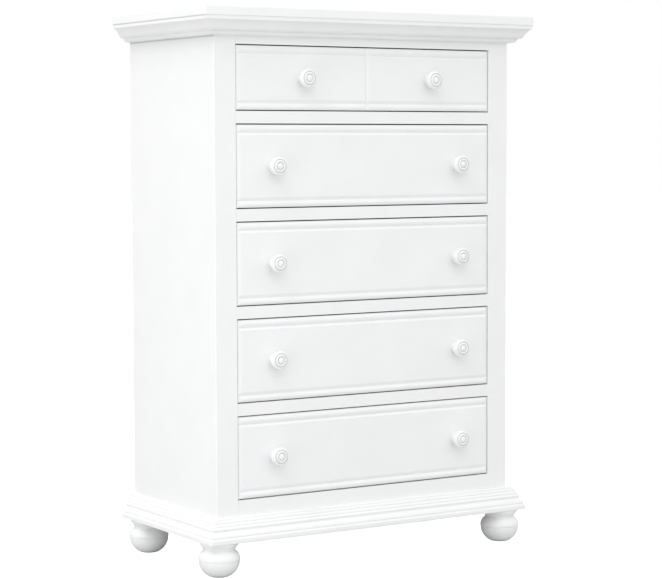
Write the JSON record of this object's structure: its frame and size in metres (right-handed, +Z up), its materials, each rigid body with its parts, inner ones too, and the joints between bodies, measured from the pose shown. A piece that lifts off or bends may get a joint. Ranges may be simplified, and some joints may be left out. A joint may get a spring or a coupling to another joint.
{
  "type": "tall chest of drawers",
  "caption": "Tall white-painted chest of drawers with crown and base mouldings, bun feet, turned knobs and beaded inset drawer fronts on wooden runners.",
  "frame": {"origin": "on the floor, under the middle of the top board's outline", "axes": "+Z up, front faces -Y, +X to the right seen from the front"},
  "size_m": [0.965, 0.489, 1.37],
  "materials": {
    "case_paint": "satin white paint over solid wood and panel",
    "trim_paint": "satin white paint over moulded wood",
    "front_paint": "satin white paint over solid wood drawer fronts",
    "knob_paint": "semi-gloss white paint over turned wood",
    "foot_paint": "satin white paint over turned wood",
    "drawer_wood": "clear-coated pale hardwood",
    "drawer_panel": "sanded plywood, clear coat",
    "runner_wood": "bare planed hardwood, waxed",
    "back_board": "thin hardboard, flat white on the outside",
    "steel": "zinc-plated steel"
  },
  "bodies": {
    "carcass": {"top_board": "trim_paint", "crown_front": "trim_paint", "crown_left": "trim_paint", "crown_right": "trim_paint", "side_panel_left": "case_paint", "side_panel_right": "case_paint", "stile_left": "case_paint", "stile_right": "case_paint", "top_rail": "case_paint", "rail_1": "case_paint", "rail_2": "case_paint", "rail_3": "case_paint", "rail_4": "case_paint", "bottom_rail": "case_paint", "base_board": "trim_paint", "base_moulding_front": "trim_paint", "base_moulding_left": "trim_paint", "base_moulding_right": "trim_paint", "back_panel": "back_board", "foot_front_left": "foot_paint", "foot_front_right": "foot_paint", "foot_back_left": "foot_paint", "foot_back_right": "foot_paint", "foot_bolts": "steel", "drawer_runners": "runner_wood"},
    "drawer_1": {"drawer_1_front": "front_paint", "drawer_1_side_left": "drawer_wood", "drawer_1_side_right": "drawer_wood", "drawer_1_back": "drawer_wood", "drawer_1_bottom": "drawer_panel", "drawer_1_knobs": "knob_paint", "drawer_1_knob_screws": "steel"},
    "drawer_2": {"drawer_2_front": "front_paint", "drawer_2_side_left": "drawer_wood", "drawer_2_side_right": "drawer_wood", "drawer_2_back": "drawer_wood", "drawer_2_bottom": "drawer_panel", "drawer_2_knobs": "knob_paint", "drawer_2_knob_screws": "steel"},
    "drawer_3": {"drawer_3_front": "front_paint", "drawer_3_side_left": "drawer_wood", "drawer_3_side_right": "drawer_wood", "drawer_3_back": "drawer_wood", "drawer_3_bottom": "drawer_panel", "drawer_3_knobs": "knob_paint", "drawer_3_knob_screws": "steel"},
    "drawer_4": {"drawer_4_front": "front_paint", "drawer_4_side_left": "drawer_wood", "drawer_4_side_right": "drawer_wood", "drawer_4_back": "drawer_wood", "drawer_4_bottom": "drawer_panel", "drawer_4_knobs": "knob_paint", "drawer_4_knob_screws": "steel"},
    "drawer_5": {"drawer_5_front": "front_paint", "drawer_5_side_left": "drawer_wood", "drawer_5_side_right": "drawer_wood", "drawer_5_back": "drawer_wood", "drawer_5_bottom": "drawer_panel", "drawer_5_knobs": "knob_paint", "drawer_5_knob_screws": "steel"}
  },
  "joints": [
    {"name": "drawer_1_slide", "type": "slide", "parent": "carcass", "child": "drawer_1", "axis": [0, -1, 0], "range_m": [0, 0.3]},
    {"name": "drawer_2_slide", "type": "slide", "parent": "carcass", "child": "drawer_2", "axis": [0, -1, 0], "range_m": [0, 0.3]},
    {"name": "drawer_3_slide", "type": "slide", "parent": "carcass", "child": "drawer_3", "axis": [0, -1, 0], "range_m": [0, 0.3]},
    {"name": "drawer_4_slide", "type": "slide", "parent": "carcass", "child": "drawer_4", "axis": [0, -1, 0], "range_m": [0, 0.3]},
    {"name": "drawer_5_slide", "type": "slide", "parent": "carcass", "child": "drawer_5", "axis": [0, -1, 0], "range_m": [0, 0.3]}
  ]
}
